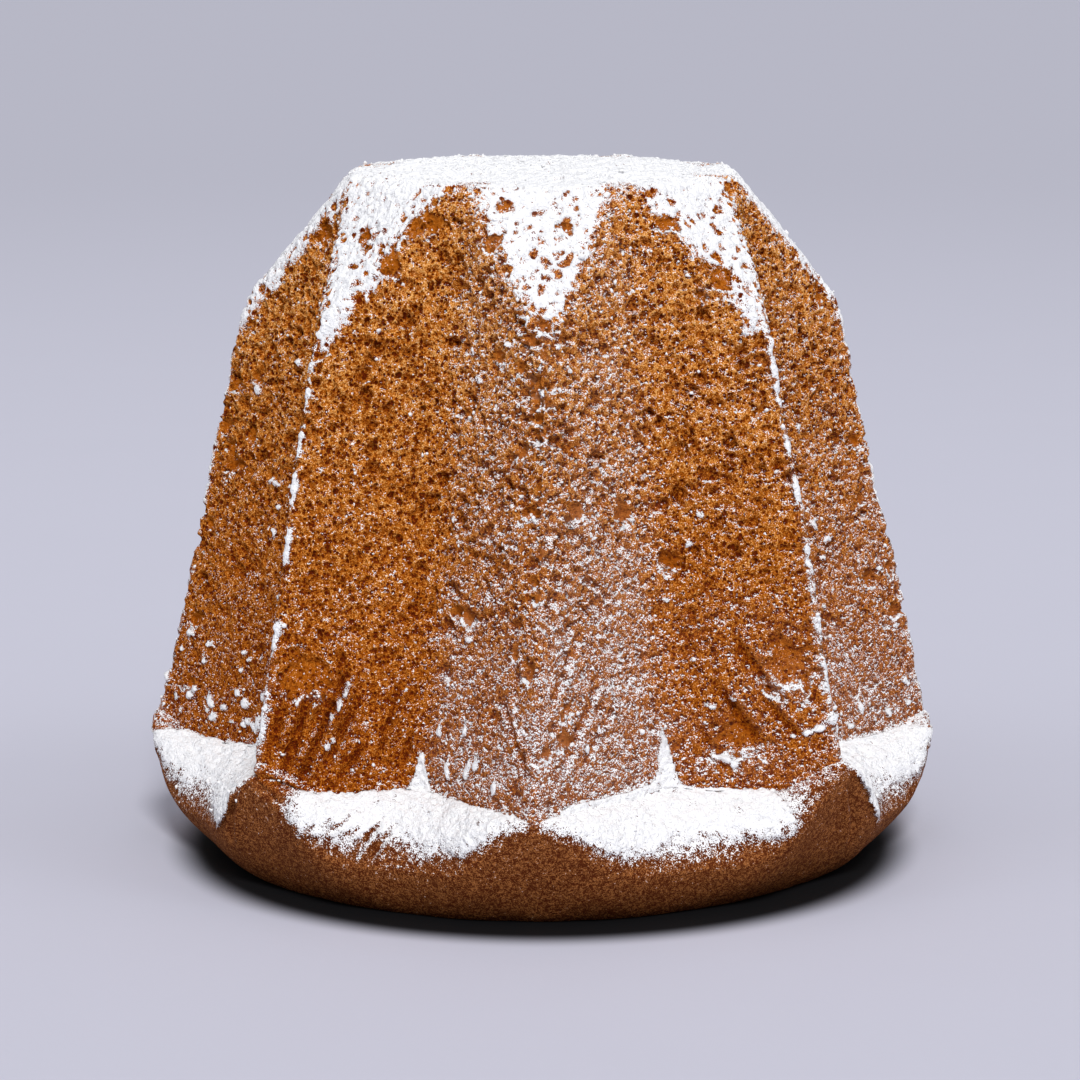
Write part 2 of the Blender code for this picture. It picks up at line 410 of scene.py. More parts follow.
# How far sugar runs down below the facet on each flank, in mm by its ridge and by its valley, from
# the front ridge's right flank and on to its right
RUNS = np.array((
    (7, 1), (9, 0), (4, 0), (8, 3), (6, 2), (9, 1), (5, 2), (8, 1),
    (7, 1), (5, 2), (9, 1), (6, 0), (14, 10), (2, 8), (15, 1), (6, 1),
))

# How much sugar dust each of these flanks holds near the top, half way and near the foot
FLANK_DUST = np.array((
    (0.62, 0.74, 0.78), (0.42, 0.42, 0.56), (0.44, 0.60, 0.80), (0.48, 0.60, 0.76),
    (0.45, 0.60, 0.72), (0.42, 0.52, 0.66), (0.55, 0.64, 0.76), (0.42, 0.52, 0.66),
    (0.48, 0.58, 0.70), (0.42, 0.54, 0.64), (0.54, 0.62, 0.74), (0.34, 0.44, 0.58),
    (0.18, 0.20, 0.45), (0.18, 0.22, 0.50), (0.14, 0.00, 0.34), (0.60, 0.58, 0.74),
))

# The drift on the rim under each of these flanks: the share of the flank between the ridge and its
# start, how far it hangs down near the ridge and near the valley and how far it covers the flank
# above the rim, in mm, and how much further from the ridge it starts for each mm down
DRIFTS = np.array((
    (0.04, 1.5, 11.5, 3.5, 0), (0.36, 4.0, 11.0, 0.8, 0), (0.04, 15.5, 11.0, 1.0, 0.0138),
    (0.04, 3.0, 10.0, 2.0, 0), (0.10, 4.0, 12.0, 1.5, 0), (0.05, 2.0, 11.0, 0.5, 0),
    (0.12, 5.0, 9.0, 2.0, 0), (0.05, 3.0, 12.0, 1.0, 0), (0.20, 2.0, 11.0, 2.5, 0),
    (0.06, 5.0, 10.0, 1.0, 0), (0.08, 3.0, 12.0, 1.5, 0), (0.15, 4.0, 9.0, 2.5, 0),
    (0.05, 2.0, 10.0, 1.0, 0), (0.15, 15.0, 11.0, 1.0, 0.0155), (0.24, 4.0, 10.5, 0.6, 0),
    (0.05, 1.0, 10.5, 0.8, 0),
))
# How far the drift in each valley runs up it, in mm
DRIFT_SPIKES = np.array((14.0, 5.0, 8.0, 4.0, 10.0, 6.0, 7.0, 10.0))

# Holes left by large bubbles: degrees round from the front, then height, radius and depth in mm
HOLES = [
    (0.7, 162.6, 2.2, 2.0), (-2.3, 158.1, 1.8, 1.5), (0.3, 155.1, 1.6, 1.5), (-4.3, 150.6, 1.7, 1.5),
    (-9.0, 153.0, 2.2, 2.0), (-0.6, 148.1, 3.2, 3.0), (-1.2, 142.8, 2.0, 1.8), (1.2, 142.4, 1.7, 1.8),
    (-0.9, 138.0, 2.2, 2.2), (-0.8, 133.4, 2.4, 2.2), (-3.5, 128.4, 2.0, 1.8), (-0.6, 118.8, 2.2, 2.0),
    (-2.1, 112.9, 2.0, 2.0), (6.0, 112.4, 2.6, 1.8), (16.0, 109.5, 2.2, 2.0), (0.1, 102.2, 1.7, 1.5),
    (26.5, 94.9, 2.4, 2.2), (-1.5, 94.7, 1.5, 1.5), (-0.7, 90.9, 1.6, 1.5), (-16.5, 82.4, 2.0, 2.0),
    (-13.5, 82.6, 2.0, 2.0), (-4.2, 75.0, 1.6, 1.5), (-1.9, 70.8, 2.4, 2.2), (3.6, 59.8, 1.9, 1.5),
    (3.1, 51.8, 2.2, 1.5), (0.1, 49.6, 1.8, 1.5), (-48.0, 182.8, 2.8, 2.2), (-33.2, 186.5, 4.2, 1.8),
    (-29.5, 188.0, 3.0, 1.5), (-37.5, 177.1, 3.2, 1.8), (-10.8, 192.1, 2.0, 1.5),
    (6.1, 187.4, 1.7, 1.3), (-11.3, 183.6, 2.4, 1.6), (41.1, 172.9, 4.6, 2.2),
    (33.9, 187.3, 2.6, 1.5), (-74.3, 181.5, 3.8, 2.6), (-40.6, 64.3, 6.0, 1.6),
    (43.2, 66.4, 6.5, 1.6), (35.0, 47.1, 5.5, 1.5),
]

# Folds in the crust: degrees and height in mm of both ends, then width and depth in mm
FOLDS = [
    (-39.0, 62.0, -40.6, 36.0, 1.1, 2.0), (-36.8, 61.0, -40.0, 40.0, 1.0, 1.9),
    (-34.6, 66.0, -37.4, 48.0, 1.2, 2.4), (-36.4, 56.0, -38.8, 34.0, 1.0, 2.0),
    (-41.5, 60.0, -42.5, 42.0, 1.0, 1.2), (-31.0, 46.0, -34.5, 33.5, 1.1, 1.6),
    (-27.0, 60.0, -29.5, 40.0, 1.0, 1.2), (-44.5, 37.6, -38.2, 31.2, 1.5, 3.2),
    (-24.0, 50.0, -26.0, 36.0, 1.0, 1.1), (-33.0, 58.0, -36.0, 38.0, 1.0, 1.4),
    (36.0, 76.0, 42.5, 56.0, 1.2, 1.4), (33.0, 62.0, 39.5, 44.0, 1.2, 1.4),
    (39.0, 60.0, 44.0, 46.0, 1.0, 1.2), (30.0, 50.0, 34.0, 36.0, 1.0, 1.0),
    (9.9, 66.0, 2.6, 42.0, 1.1, 1.0), (13.0, 60.0, 6.0, 42.0, 1.0, 0.7),
    (-6.0, 64.0, -1.2, 42.0, 1.0, 0.8), (6.0, 78.0, 1.0, 60.0, 1.0, 0.8),
    (-25.0, 27.5, -28.5, 15.5, 1.1, 1.6), (-29.3, 27.5, -33.2, 21.0, 1.0, 1.4),
    (-23.0, 26.5, -26.2, 15.0, 1.0, 1.5), (-20.8, 25.5, -22.0, 18.0, 0.9, 0.9),
    (-31.4, 27.0, -34.5, 23.0, 0.9, 1.0), (-27.0, 27.0, -30.5, 19.0, 0.8, 1.0),
    (53.8, 12.0, 47.5, 34.0, 1.2, 1.2), (-46.0, 36.0, -52.5, 13.0, 1.2, 1.2),
]

# Dabs of sugar caught on the side: degrees and height in mm, radius in mm, how much taller than wide
DABS = [
    (-35.4, 60.1, 1.5, 2.0), (-36.0, 56.5, 1.5, 2.2), (-36.7, 53.0, 1.1, 2.0), (-36.6, 44.7, 1.4, 1.4),
    (-35.8, 46.0, 1.0, 1.2), (-18.3, 49.3, 1.2, 1.9), (-13.0, 51.8, 1.1, 2.4), (-16.3, 40.7, 1.3, 2.4),
    (-12.0, 40.5, 1.3, 2.2), (-10.2, 43.0, 1.5, 1.8), (-6.9, 38.1, 1.1, 2.4), (33.0, 40.3, 2.2, 0.7),
    (34.6, 39.0, 1.8, 0.7), (31.8, 41.2, 1.4, 0.8), (9.0, 52.7, 0.9, 2.8), (6.7, 48.1, 0.8, 2.6),
    (44.2, 47.6, 1.8, 0.8), (45.6, 48.6, 1.6, 0.9), (47.0, 50.6, 1.7, 1.2), (42.6, 46.8, 1.2, 0.8),
    (35.2, 56.9, 1.4, 0.8), (31.9, 55.0, 1.3, 0.7), (-86.0, 42.9, 2.4, 0.7), (-74.0, 43.9, 2.2, 0.9),
    (-68.4, 39.0, 1.8, 0.9), (-79.0, 41.5, 1.6, 0.8), (-70.0, 40.4, 1.8, 0.8), (-88.0, 61.0, 2.0, 0.7),
    (-15.2, 153.5, 1.2, 0.8), (-4.4, 161.0, 1.8, 0.7), (0.8, 159.6, 2.6, 0.7), (-6.5, 156.7, 1.4, 0.8),
    (-3.0, 163.0, 2.4, 0.8), (2.6, 157.0, 1.6, 0.8), (-0.4, 151.5, 2.0, 0.5), (-0.6, 144.6, 2.2, 0.5),
    (-0.8, 140.2, 1.8, 0.5), (-13.0, 146.0, 1.3, 0.8), (-15.0, 139.0, 1.4, 0.8), (5.0, 150.0, 1.3, 0.8),
    (18.0, 107.5, 1.4, 0.6), (21.4, 117.8, 1.5, 0.7), (33.0, 107.8, 1.4, 0.6), (25.4, 84.5, 1.6, 0.6),
    (30.7, 99.5, 1.3, 0.6), (-18.4, 107.2, 1.3, 0.9), (-13.2, 75.9, 1.4, 1.0), (12.0, 118.0, 1.4, 0.7),
]

# Clusters of dabs low on the far left and far right: how many, the degrees they lie between, the
# lowest height and the reach above it in mm, and their least and greatest radius in mm
DAB_CLUSTERS = (
    (26, (-98, -62), 38, 26, (0.9, 1.9)),
    (12, (55, 92), 37, 14, (0.8, 1.6)),
)
DABS_BEHIND = 110
BACK_RIDGES = range(2, 7)
HOLES_ON_BACK_RIDGE = 14

FOLD_RADIUS = 0.095         # radius at which the degrees of the folds are turned into metres
FINE_CELL = 0.0023
FINE_CELL_DEPTH = 0.0014
WIDE_CELL = 0.0042
WIDE_CELL_DEPTH = 0.0024
BUBBLE_SPACING = 0.0110
BUBBLE_SHARE = 0.45         # how much of a round bubble lies below the surface
CRUST_LIFT = 0.0008         # keeps the crust's mean surface on the smooth form
CRUMBLY_WIDTH = 0.014       # how far from the front ridge its crumb is coarse
WORN_DEPTH = 0.0012
WORN_WIDTH = 0.004
FRONT_ANGLE = 0.38
LINED_ANGLE = 0.3           # ridges further round than this carry a line of sugar
SUGAR_LINE_WIDTH = 0.0008
SHEET_FADE = 0.0035         # over how much height the sheet of sugar thins out
DUST_FADE = 0.004           # over how much height the dust below a drift thins out
TOP_REACH = 0.046           # radius of the part of the top without facets
ON_TOP_LEVEL = 0.03         # how far above the edge of the sugar the whole of that part counts
MIDDLE_RISE = 0.0006        # how far the middle of the top lies above the smooth form


def flank_values(flute, height, table):
    """Values by flank and height, eased across the ridges and valleys."""
    place = flute / HALF_SECTOR - 0.5
    first = np.floor(place).astype(int)
    on_valley = first % 2 == 0
    reach = np.where(on_valley, 0.26, 0.08)
    share = ramp((place - first - 0.5) / reach, -1, 1)
    up = np.clip((height - CREASE_HEIGHT) / SIDE_HEIGHT, 0, 1)
    result = 0
    for offset, weight in ((0, 1 - share), (1, share)):
        top, middle, low = table[(first + offset) % (2 * RIDGES)].T
        result = result + weight * np.where(up > 0.5, mix(middle, top, 2 * up - 1),
                                            mix(low, middle, 2 * up))
    return result


def on_surface(degrees, height):
    """The point of the smooth side at an angle round the cake and a height."""
    angle = radians(degrees)
    flute = angle - (azimuth(np.array([angle]), height) - angle)[0]
    radius = side_radius(np.array([flute]), np.array([height]))[0]
    return np.array((radius * sin(angle), -radius * cos(angle), height))


def hole_relief(points):
    """How deep the large holes go at each point, and from 0 to 1 how far inside a hole and how close
    under one the point is."""
    depth = np.zeros(len(points))
    lip = np.zeros(len(points))
    inside = np.zeros(len(points))
    holes = list(HOLES)
    chance = np.random.RandomState(5)
    for ridge in BACK_RIDGES:
        for _ in range(HOLES_ON_BACK_RIDGE):
            degrees = 360 / RIDGES * ridge + chance.normal(0, 4)
            radius = chance.uniform(1.4, 2.8)
            holes.append((degrees, chance.uniform(45, 165), radius, 0.9 * radius))
    ragged = 1 + 1.1 * rough(points, 0.0022, 31, 3)
    for degrees, height, radius, deep in holes:
        centre = on_surface(degrees, height / 1000)
        away = points - centre
        near = np.abs(away).max(1) < 2 * radius / 1000
        reach = np.linalg.norm(away[near], axis=1) * 1000 / radius * ragged[near]
        bowl = np.sqrt(np.maximum(1 - reach ** 2, 0))
        depth[near] = np.maximum(depth[near], deep / 1000 * bowl)
        hidden = np.minimum(1, 1.5 * bowl) * min(1, 2.2 * deep / radius)
        inside[near] = np.maximum(inside[near], hidden)
        down = ramp(-away[near, 2] * 1000 / radius, 0.2, 0.9)
        lip[near] = np.maximum(lip[near], down * np.exp(-((reach - 1.2) / 0.22) ** 2))
    return depth, inside, lip


def fold_relief(points, azimuths):
    """Raised on one side of each fold and cut in on the other."""
    relief = np.zeros(len(points))
    across = azimuths * FOLD_RADIUS
    along = points[:, 2] + 0.0006 * noise(points, 0.006, 44)
    for from_degrees, from_height, to_degrees, to_height, width, deep in FOLDS:
        start = np.array((radians(from_degrees) * FOLD_RADIUS, from_height / 1000))
        end = np.array((radians(to_degrees) * FOLD_RADIUS, to_height / 1000))
        length = np.linalg.norm(end - start)
        way = (end - start) / length
        side = np.array((-way[1], way[0]))
        down = (across - start[0]) * way[0] + (along - start[1]) * way[1]
        off = ((across - start[0]) * side[0] + (along - start[1]) * side[1]) / (width / 1000)
        fade = ramp(down, -0.002, 0.006) * ramp(length - down, -0.002, 0.006)
        relief += fade * deep / 1000 * (0.8 * np.exp(-(off - 0.8) ** 2) - np.exp(-(off + 0.6) ** 2))
    return relief


def dab_share(points):
    """0 to 1 for how far inside a dab of sugar a point is."""
    share = np.zeros(len(points))
    dabs = list(DABS)
    chance = np.random.RandomState(8)
    for _ in range(DABS_BEHIND):
        radius = chance.uniform(0.8, 1.8)
        degrees = chance.uniform(60, 300)
        height = chance.uniform(38, 150)
        dabs.append((degrees, height, radius, chance.uniform(0.6, 1.6)))
    for count, sides, lowest, reach, radii in DAB_CLUSTERS:
        for _ in range(count):
            height = lowest + reach * chance.random_sample() ** 1.6
            degrees = chance.uniform(*sides)
            radius = chance.uniform(*radii)
            dabs.append((degrees, height, radius, chance.uniform(0.6, 1.0)))
    ragged = 1 + 0.8 * rough(points, 0.0022, 37, 2)
    for degrees, height, radius, taller in dabs:
        away = (points - on_surface(degrees, height / 1000)) * 1000 / radius
        near = np.abs(away[:, :2]).max(1) < 2
        away = away[near]
        away[:, 2] /= taller
        reach = np.linalg.norm(away, axis=1) * ragged[near]
        share[near] = np.maximum(share[near], 1 - reach ** 2)
    return share


def front_share(points):
    """1 on the upper part of the front ridge, where the crust is worn."""
    azimuths = np.arctan2(points[:, 0], -points[:, 1])
    return (np.abs(azimuths) < FRONT_ANGLE) * ramp(points[:, 2], 0.06, 0.10)


def crumb_pores(points, off_ridge, level, inside):
    """Depth of the porous crumb: fine cells, some wider ones, and a few bubbles. Also the warped
    points that the cells are laid out in."""
    height = points[:, 2]
    warp = np.stack([noise(points, 0.0024, 60 + axis) for axis in range(3)], axis=1)
    warped = points + 0.0006 * warp
    crumbly = np.exp(-(off_ridge / CRUMBLY_WIDTH) ** 2) * front_share(points)
    crumbly = crumbly * ramp(level, 0.002, -0.006)
    fine = FINE_CELL_DEPTH * foam(warped, FINE_CELL, 9, 0.6)
    wide = WIDE_CELL_DEPTH * foam(warped, WIDE_CELL, 11, mix(2.4, 0.7, crumbly))
    pores = mix(0.35, 1.0, ramp(height, 0.04, 0.14)) * (fine + wide) * (1 - 0.7 * inside)
    blown = bubbles(warped + 0.0010 * warp, BUBBLE_SPACING, 0.02, 0.22, 2.4, 13)
    return pores + BUBBLE_SHARE * blown, warped


def add_relief(lobe):
    """Moves the points of a lobe out to their baked surface, and notes what the materials need:
    how thick sugar lies in a sheet or as dust, how deep in the crumb the point is, how near the
    foot, whether skin or crumb, and whether it is inside a large hole."""
    points = lobe["points"]
    flute = lobe["fields"]["flute"]
    rim = lobe["fields"]["rim"]
    height = points[:, 2]
    azimuths = np.arctan2(points[:, 0], -points[:, 1])
    across = from_ridge(flute) / HALF_SECTOR
    off_ridge = from_ridge(flute) * np.hypot(points[:, 0], points[:, 1])
    level = height - np.interp(across, FACET_TABLE[0], FACET_TABLE[1])
    on_top = np.hypot(points[:, 0], points[:, 1]) < TOP_REACH
    level = np.where(on_top, ON_TOP_LEVEL, level)
    below = np.where(rim > 1, 0.028 * rim, crust_line(flute) - height)
    below = np.where(on_top, -0.1, below)

    # The crust
    waves = 0.0006 * rough(points, 0.018, 1, 2) + 0.0004 * rough(points, 0.006, 3, 2)
    grain = rough(points, 0.0014, 5, 2)
    ragged = rough(points, 0.0065, 7, 3)
    hole, inside, lip = hole_relief(points)
    folds = fold_relief(points, azimuths)
    fold_side = folds / 0.001
    pores, warped = crumb_pores(points, off_ridge, level, inside)
    worn = WORN_DEPTH * np.exp(-(off_ridge / WORN_WIDTH) ** 2) * front_share(points)
    crust = waves + CRUST_LIFT + 0.0002 * grain - pores - hole - worn + folds

    # Where sugar lies thick: on the top and the facets, and along the ridges
    flank = np.floor(flute / HALF_SECTOR).astype(int) % (2 * RIDGES)
    run = mix(*RUNS[flank].T, ramp(across, 0.0, 0.8)) / 1000
    edge = level + run + 0.0034 * ragged + 0.0016 * grain + 0.008 * np.clip(ragged - 0.22, 0, 1)
    sheet = np.clip(edge / SHEET_FADE, -2, 3) / 3 + 0.30 * ramp(level, 0.014, 0.034)
    lined = np.abs(azimuths) > LINED_ANGLE
    ridge_line = np.exp(-(off_ridge / SUGAR_LINE_WIDTH) ** 2) * lined
    ridge_line = ridge_line * (0.68 + 2.2 * ragged - 0.8 * ramp(height, 0.13, 0.04))
    sheet = np.maximum(sheet - 0.9 * inside, ridge_line)

    # The drifts on the rim
    start, near_ridge, near_valley, rise, lean = DRIFTS[flank].T
    start = start + lean * np.maximum(below, 0) * 1000
    spike = DRIFT_SPIKES[flank // 2] * np.exp(-((1 - across) / 0.07) ** 2)
    above = below + (rise * ramp(across, 0.02, 0.25) + spike) / 1000 + 0.0008 * ragged
    slack = ramp(across, 0.10, np.where(near_ridge > near_valley, 1.2, 0.5))
    hang = mix(near_ridge, near_valley, slack) / 1000 + 0.0020 * ragged
    left = height - (crust_line(flute) - hang)
    drift = ramp(above, -0.0006, 0.0006) * ramp(left, -0.0042, 0.0050)
    drift = drift * ramp(across, start - 0.05, start + 0.06)
    skin = ramp(below, -0.0004, 0.0012)

    # All of it together
    lumps = 0.0005 * rough(points, 0.0035, 15, 2) + 0.0005 * (1 - foam(warped, 0.0026, 21, 0.3))
    thick = ramp(sheet, 0.0, 0.6)
    relief = mix(crust, 0.55 * (crust + hole) - hole + lumps, thick)
    skin_relief = 0.00025 * rough(points, 0.009, 19, 2) + 0.00003 * grain + folds
    relief = mix(relief, skin_relief, skin)
    relief = mix(relief, np.maximum(relief, 0.0004), drift) + drift * (0.0004 + 1.6 * lumps)
    dabs = dab_share(points)
    relief = relief + ramp(dabs, 0, 0.8) * (0.0004 + lumps)
    relief = relief * ramp(3 - rim, 0.6, 1.2)
    lobe["points"] = points + lobe["normals"] * relief[:, None]
    lobe["points"][:, 2] = np.maximum(lobe["points"][:, 2], 0)

    # Thin dust, on the crumb and on the skin
    dust = flank_values(flute, height, FLANK_DUST) + 0.16 * ragged + 0.10 * np.clip(fold_side, -1, 1)
    on_ridge = np.exp(-(off_ridge / 0.0010) ** 2) * lined
    dust = dust + on_ridge * (0.30 + 0.3 * ragged) + 0.8 * lip
    on_rim = 0.70 * np.exp(-np.maximum(-left, 0) / DUST_FADE) * ramp(across, start - 0.2, start + 0.1)
    on_rim = on_rim + 0.16 * ragged + 0.24
    fields = {
        "sheet": np.maximum(np.maximum(sheet * (1 - skin), 1.3 * drift - 0.3), 1.2 * dabs),
        "dust": mix(dust, on_rim, skin),
        # pit also drives painted shade: the crust material darkens the crumb with it
        "pit": np.clip(pores / 0.0014 + 0.2 * inside - 0.8 * np.clip(fold_side, -1, 0), 0, 1.3),
        "tone": np.clip(1 - (height - 0.03) / 0.14 + 0.2 * ragged, 0, 1),
        "skin": skin,
        "hollow": inside,
    }
    lobe["fields"] = {name: np.asarray(value, np.float32) for name, value in fields.items()}


FACET_TABLE = np.linspace(0, 1, 200), facet_foot(np.linspace(0, 1, 200) * HALF_SECTOR)


# ---- materials

class Graph:
    """Short names for the nodes of a material."""

    def __init__(self, name):
        self.material = bpy.data.materials.new(name)
        self.material.use_nodes = True
        self.nodes = self.material.node_tree.nodes
        self.links = self.material.node_tree.links
        self.shader = self.nodes["Principled BSDF"]

    def put(self, value, socket):
        if isinstance(value, bpy.types.NodeSocket):
            self.links.new(value, socket)
        else:
            socket.default_value = value

    def math(self, operation, a, b):
        node = self.nodes.new("ShaderNodeMath")
        node.operation = operation
        self.put(a, node.inputs[0])
        self.put(b, node.inputs[1])
        return node.outputs[0]

    def weigh(self, terms, constant=0.0):
        """A sum of sockets, each times its weight."""
        total = constant
        for socket, weight in terms:
            node = self.nodes.new("ShaderNodeMath")
            node.operation = "MULTIPLY_ADD"
            self.put(socket, node.inputs[0])
            self.put(weight, node.inputs[1])
            self.put(total, node.inputs[2])
            total = node.outputs[0]
        return total

    def ramp(self, value, low, high):
        """0 at low, 1 at high, and eased between them."""
        node = self.nodes.new("ShaderNodeMapRange")
        node.interpolation_type = "SMOOTHSTEP"
        self.put(value, node.inputs["Value"])
        node.inputs["From Min"].default_value = low
        node.inputs["From Max"].default_value = high
        return node.outputs["Result"]

    def blend(self, share, a, b):
        """From colour a to colour b, which are the sockets 6 and 7 of a colour mix."""
        node = self.nodes.new("ShaderNodeMix")
        node.data_type = "RGBA"
        self.put(share, node.inputs["Factor"])
        self.put(a, node.inputs[6])
        self.put(b, node.inputs[7])
        return node.outputs[2]

    def field(self, name):
        """A value that is kept for each point of the mesh."""
        node = self.nodes.new("ShaderNodeAttribute")
        node.attribute_name = name
        return node.outputs["Fac"]

    def place(self):
        """Position on the object, in millimetres."""
        source = self.nodes.new("ShaderNodeTexCoord")
        node = self.nodes.new("ShaderNodeVectorMath")
        node.operation = "SCALE"
        self.links.new(source.outputs["Object"], node.inputs[0])
        node.inputs["Scale"].default_value = 1000
        return node.outputs[0]

    def noise(self, place, size, detail):
        node = self.nodes.new("ShaderNodeTexNoise")
        self.links.new(place, node.inputs["Vector"])
        node.inputs["Scale"].default_value = 1 / size
        node.inputs["Detail"].default_value = detail
        node.inputs["Roughness"].default_value = 0.6
        return node.outputs["Fac"]

    def cells(self, place, size):
        """Packed cells: 0 in the middle of each up to its walls, and a random value for each."""
        node = self.nodes.new("ShaderNodeTexVoronoi")
        self.links.new(place, node.inputs["Vector"])
        node.inputs["Scale"].default_value = 1 / size
        split = self.nodes.new("ShaderNodeSeparateColor")
        self.links.new(node.outputs["Color"], split.inputs[0])
        return node.outputs["Distance"], split.outputs[0]

    def bump(self, height, distance, strength=1.0, normal=None):
        node = self.nodes.new("ShaderNodeBump")
        self.put(strength, node.inputs["Strength"])
        node.inputs["Distance"].default_value = distance
        self.put(height, node.inputs["Height"])
        if normal:
            self.put(normal, node.inputs["Normal"])
        return node.outputs["Normal"]

    def upward(self, normal):
        """1 where the surface faces up, 0 where it is upright."""
        node = self.nodes.new("ShaderNodeVectorMath")
        node.operation = "DOT_PRODUCT"
        self.put(normal, node.inputs[0])
        node.inputs[1].default_value = (0, 0, 1)
        return node.outputs["Value"]

    def finish(self, colour, normal, roughness, specular):
        self.put(colour, self.shader.inputs["Base Color"])
        self.put(normal, self.shader.inputs["Normal"])
        self.put(roughness, self.shader.inputs["Roughness"])
        self.shader.inputs["Specular IOR Level"].default_value = specular
        return self.material


# The darkest crumb colour serves both the crumb's dark grain and the shade painted into its pores and
# pits
CRUMB_DARK_AND_PIT_SHADE = (0.14, 0.015, 0.0002, 1)
CRUMB = (0.39, 0.094, 0.0025, 1)
CRUMB_BRIGHT = (0.65, 0.215, 0.024, 1)
# The lightest crumb colour is partly a dusty tint and partly a painted highlight, on the walls between
# pores and on light specks
CRUMB_DUSTY_LIP_AND_HIGHLIGHT = (0.93, 0.480, 0.150, 1)
CRUMB_VEIL = (0.80, 0.55, 0.38, 1)
SKIN_DARK = (0.10, 0.018, 0.003, 1)
SKIN_LIGHT = (0.46, 0.170, 0.048, 1)
SUGAR = (0.98, 0.98, 0.99, 1)
LOOSE_SUGAR = (0.92, 0.92, 0.93, 1), (0.98, 0.98, 0.98, 1)
MATT = 0.9


def crust_material():
    """Golden crumb with shade painted in its pores and highlights painted on their lips, brown skin on
    the rim, white sugar.
    """
    graph = Graph("crust")
    place = graph.place()
    sheet = graph.field("sheet")
    dust = graph.field("dust")
    pit = graph.field("pit")
    tone = graph.field("tone")
    skin = graph.field("skin")
    hollow = graph.field("hollow")
    fine = graph.noise(place, 0.8, 1.0)
    speck = graph.noise(place, 0.36, 1.0)
    clump = graph.noise(place, 1.6, 1.0)
    small_wall, small_depth = graph.cells(place, 1.15)
    small_pore = graph.math("MULTIPLY", graph.ramp(small_wall, 0.60, 0.05), small_depth)
    small_pore = graph.math("MULTIPLY", small_pore, graph.weigh(((tone, -0.35),), 1.1))
    wide_wall, wide_depth = graph.cells(place, 2.2)
    wide_depth = graph.math("MULTIPLY", wide_depth, wide_depth)
    wide_pore = graph.math("MULTIPLY", graph.ramp(wide_wall, 0.55, 0.15), wide_depth)
    wide_pore = graph.math("MULTIPLY", wide_pore, graph.weigh(((tone, -0.6),), 1.0))
    relief = graph.weigh(((small_pore, -0.7), (wide_pore, -1.3), (fine, 0.6)), 1.0)
    powdery = graph.ramp(sheet, 0.25, 0.60)
    bare = graph.math("SUBTRACT", 1.0, powdery)
    bare = graph.math("MULTIPLY", bare, graph.weigh(((skin, -0.85),), 1.0))
    crumb_normal = graph.bump(relief, 0.0008, bare)
    upward = graph.upward(crumb_normal)

    # Painted shade: the crumb's tone drops in the pores and with pit, which also covers holes and the
    # cut-in side of folds; speck and fine give its own grain
    light = graph.weigh(((speck, 3.1), (fine, 1.2), (small_pore, -2.0), (wide_pore, -1.4),
                         (pit, -0.34), (tone, -0.62)), -1.11)
    light = graph.math("MULTIPLY", light, graph.weigh(((hollow, -0.75),), 1.0))
    light = graph.weigh(((light, 1.0), (hollow, 0.38)))
    crumb = graph.blend(graph.ramp(light, -0.2, 0.45), CRUMB_DARK_AND_PIT_SHADE, CRUMB)
    crumb = graph.blend(graph.ramp(light, 0.45, 0.9), crumb, CRUMB_BRIGHT)
    # Painted highlight: the lightest stop, with a dusty tint, on the walls between pores and on light
    # specks
    crumb = graph.blend(graph.ramp(light, 0.85, 1.25), crumb, CRUMB_DUSTY_LIP_AND_HIGHLIGHT)
    crumb = graph.blend(graph.math("MULTIPLY", graph.ramp(dust, 0.4, 1.1), 0.16), crumb, CRUMB_VEIL)
    skin_grain = graph.weigh(((speck, 3.0), (fine, 0.9), (clump, 1.2), (tone, -0.15)), -2.07)
    skin_colour = graph.blend(graph.ramp(skin_grain, 0.0, 1.0), SKIN_DARK, SKIN_LIGHT)
    colour = graph.blend(skin, crumb, skin_colour)

    dusted = graph.weigh(((dust, 1.1), (upward, 0.8), (speck, 2.5), (clump, 1.4), (pit, -0.3),
                          (hollow, -0.9)), -2.67)
    dusted = graph.ramp(dusted, 0.42, 0.52)
    covered = graph.weigh(((sheet, 0.9), (upward, 0.34), (pit, -0.80), (wide_pore, -0.8),
                           (speck, 1.8), (clump, 0.9)), -1.27)
    covered = graph.ramp(covered, 0.34, 0.48)
    white = graph.math("MAXIMUM", dusted, covered)
    colour = graph.blend(white, colour, SUGAR)

    powder = graph.math("MULTIPLY", powdery, graph.weigh(((fine, 0.7), (clump, 0.7))))
    height = graph.weigh(((powder, 1.0), (speck, 0.62)))
    normal = graph.bump(height, 0.0007, 1.0, crumb_normal)
    return graph.finish(colour, normal, MATT, 0.08)


def sugar_material():
    graph = Graph("icing_sugar")
    place = graph.place()
    normal = graph.bump(graph.noise(place, 0.3, 1.0), 0.0002)
    tint = graph.blend(graph.noise(place, 1.0, 2.0), *LOOSE_SUGAR)
    return graph.finish(tint, normal, MATT, 0.2)


# ---- pieces

def link(name, mesh):
    piece = bpy.data.objects.new(name, mesh)
    bpy.context.scene.collection.objects.link(piece)
    return piece


